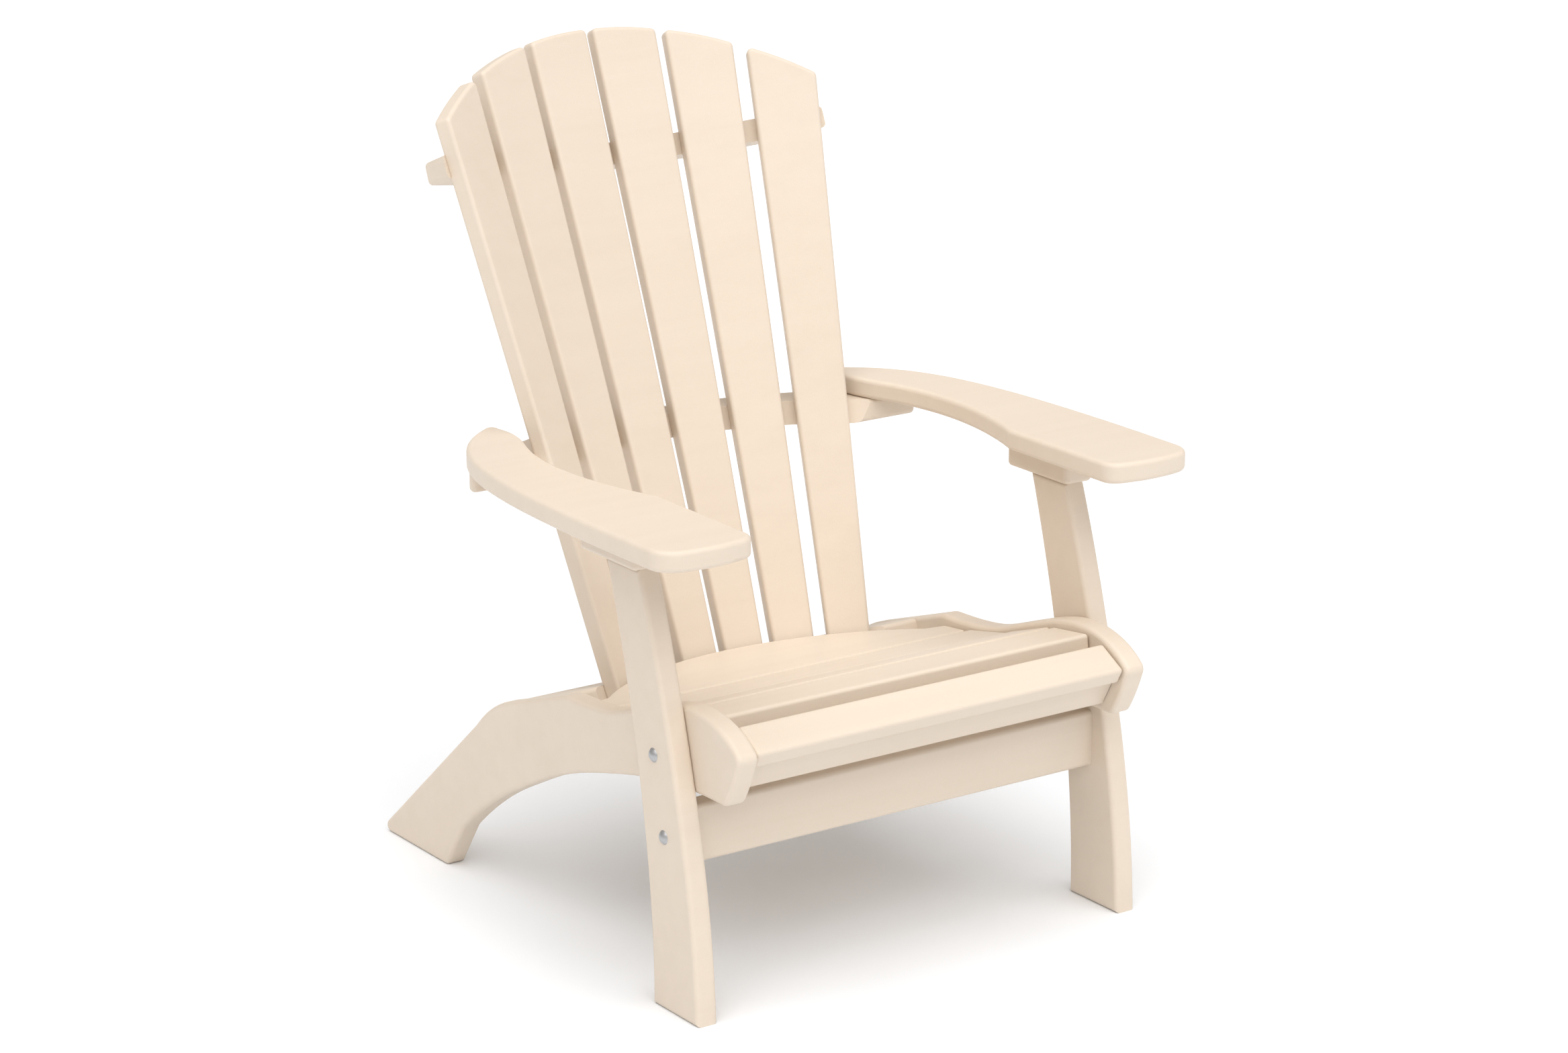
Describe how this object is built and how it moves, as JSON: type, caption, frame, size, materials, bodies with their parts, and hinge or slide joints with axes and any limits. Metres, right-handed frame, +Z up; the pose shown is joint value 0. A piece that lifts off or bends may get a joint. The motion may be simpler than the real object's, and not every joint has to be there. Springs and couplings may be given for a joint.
{
  "type": "adirondack chair",
  "caption": "Fixed garden armchair in moulded-plastic lumber with a fanned, hollow slat back, contoured slat seat, wide flat arms and curved legs.",
  "frame": {"origin": "on the floor, under the centre of the chair's bounding box", "axes": "+Z up; -Y is the way the sitter faces; +X is the right side seen from the front"},
  "size_m": [0.803, 0.8524, 1.0747],
  "materials": {
    "poly_lumber": "satin, fine grain",
    "steel": "satin"
  },
  "bodies": {
    "root": {"arm_back_rail": "poly_lumber", "arm_left": "poly_lumber", "arm_pad_left": "poly_lumber", "arm_pad_right": "poly_lumber", "arm_pad_screws": "steel", "arm_pins": "steel", "arm_rail_screws": "steel", "arm_rear_screws": "steel", "arm_right": "poly_lumber", "back_slat_1": "poly_lumber", "back_slat_2": "poly_lumber", "back_slat_3": "poly_lumber", "back_slat_4": "poly_lumber", "back_slat_5": "poly_lumber", "back_slat_6": "poly_lumber", "barrel_nuts": "steel", "bolt_nuts": "steel", "bolt_washers": "steel", "cleat_screws": "steel", "fascia_screws": "steel", "front_apron": "poly_lumber", "front_leg_left": "poly_lumber", "front_leg_right": "poly_lumber", "lower_back_rail": "poly_lumber", "lower_leg_bolts": "steel", "lower_rail_screws": "steel", "seat_cleat_left": "poly_lumber", "seat_cleat_right": "poly_lumber", "seat_fascia": "poly_lumber", "seat_screws": "steel", "seat_slat_crest": "poly_lumber", "seat_slat_dip_front": "poly_lumber", "seat_slat_dip_rear": "poly_lumber", "seat_slat_nose": "poly_lumber", "seat_slat_rear": "poly_lumber", "stringer_left": "poly_lumber", "stringer_right": "poly_lumber", "upper_back_rail": "poly_lumber", "upper_leg_bolts": "steel", "upper_rail_screws": "steel"}
  },
  "joints": []
}
